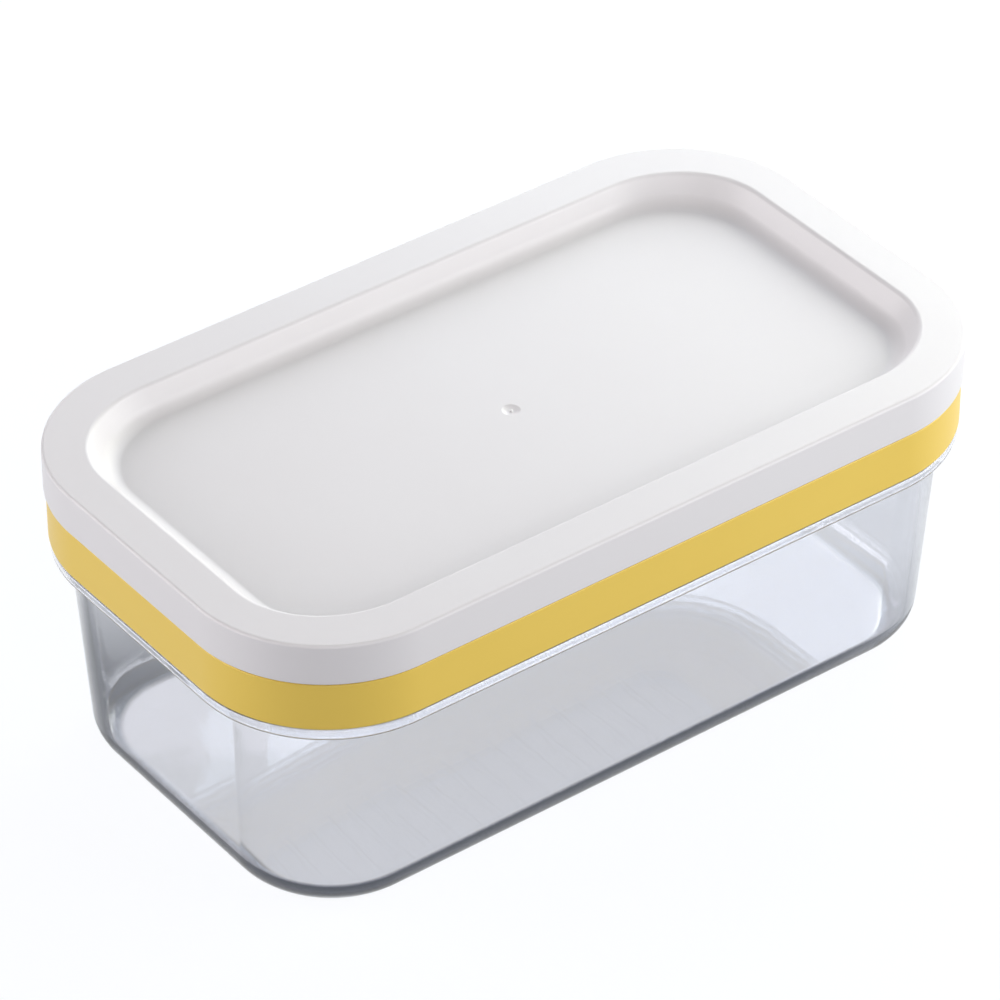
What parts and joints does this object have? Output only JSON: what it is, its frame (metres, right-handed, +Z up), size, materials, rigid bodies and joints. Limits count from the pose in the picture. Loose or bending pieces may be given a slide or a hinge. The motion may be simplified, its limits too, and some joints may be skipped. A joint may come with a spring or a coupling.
{
  "type": "butter cutting box",
  "caption": "Lidded clear box for a block of butter, with a lift-off frame of thin wires under the lid that cuts the block into small slices.",
  "frame": {"origin": "centre of the case's base, on the surface it stands on", "axes": "+X along the long side, +Y along the short side, +Z up"},
  "size_m": [0.165, 0.095, 0.0655],
  "materials": {
    "clear_plastic": "clear, polished",
    "yellow_plastic": "satin",
    "white_plastic": "satin",
    "drawn_steel": "drawn wire"
  },
  "bodies": {
    "case": {"case": "clear_plastic"},
    "cutter": {"cutter_frame": "yellow_plastic", "wire_retainer": "yellow_plastic", "cross_wire_01": "drawn_steel", "cross_wire_02": "drawn_steel", "cross_wire_03": "drawn_steel", "cross_wire_04": "drawn_steel", "cross_wire_05": "drawn_steel", "cross_wire_06": "drawn_steel", "cross_wire_07": "drawn_steel", "cross_wire_08": "drawn_steel", "cross_wire_09": "drawn_steel", "cross_wire_10": "drawn_steel", "cross_wire_11": "drawn_steel", "cross_wire_12": "drawn_steel", "cross_wire_13": "drawn_steel", "cross_wire_14": "drawn_steel", "cross_wire_15": "drawn_steel", "cross_wire_16": "drawn_steel", "cross_wire_17": "drawn_steel", "cross_wire_18": "drawn_steel", "cross_wire_19": "drawn_steel", "cross_wire_20": "drawn_steel", "cross_wire_21": "drawn_steel", "cross_wire_22": "drawn_steel", "cross_wire_23": "drawn_steel", "long_wire": "drawn_steel"},
    "lid": {"lid": "white_plastic"}
  },
  "joints": [
    {"name": "cutter_lift", "type": "slide", "parent": "case", "child": "cutter", "axis": [0, 0, 1], "range_m": [0, 0.06]},
    {"name": "lid_lift", "type": "slide", "parent": "cutter", "child": "lid", "axis": [0, 0, 1], "range_m": [0, 0.06]}
  ]
}
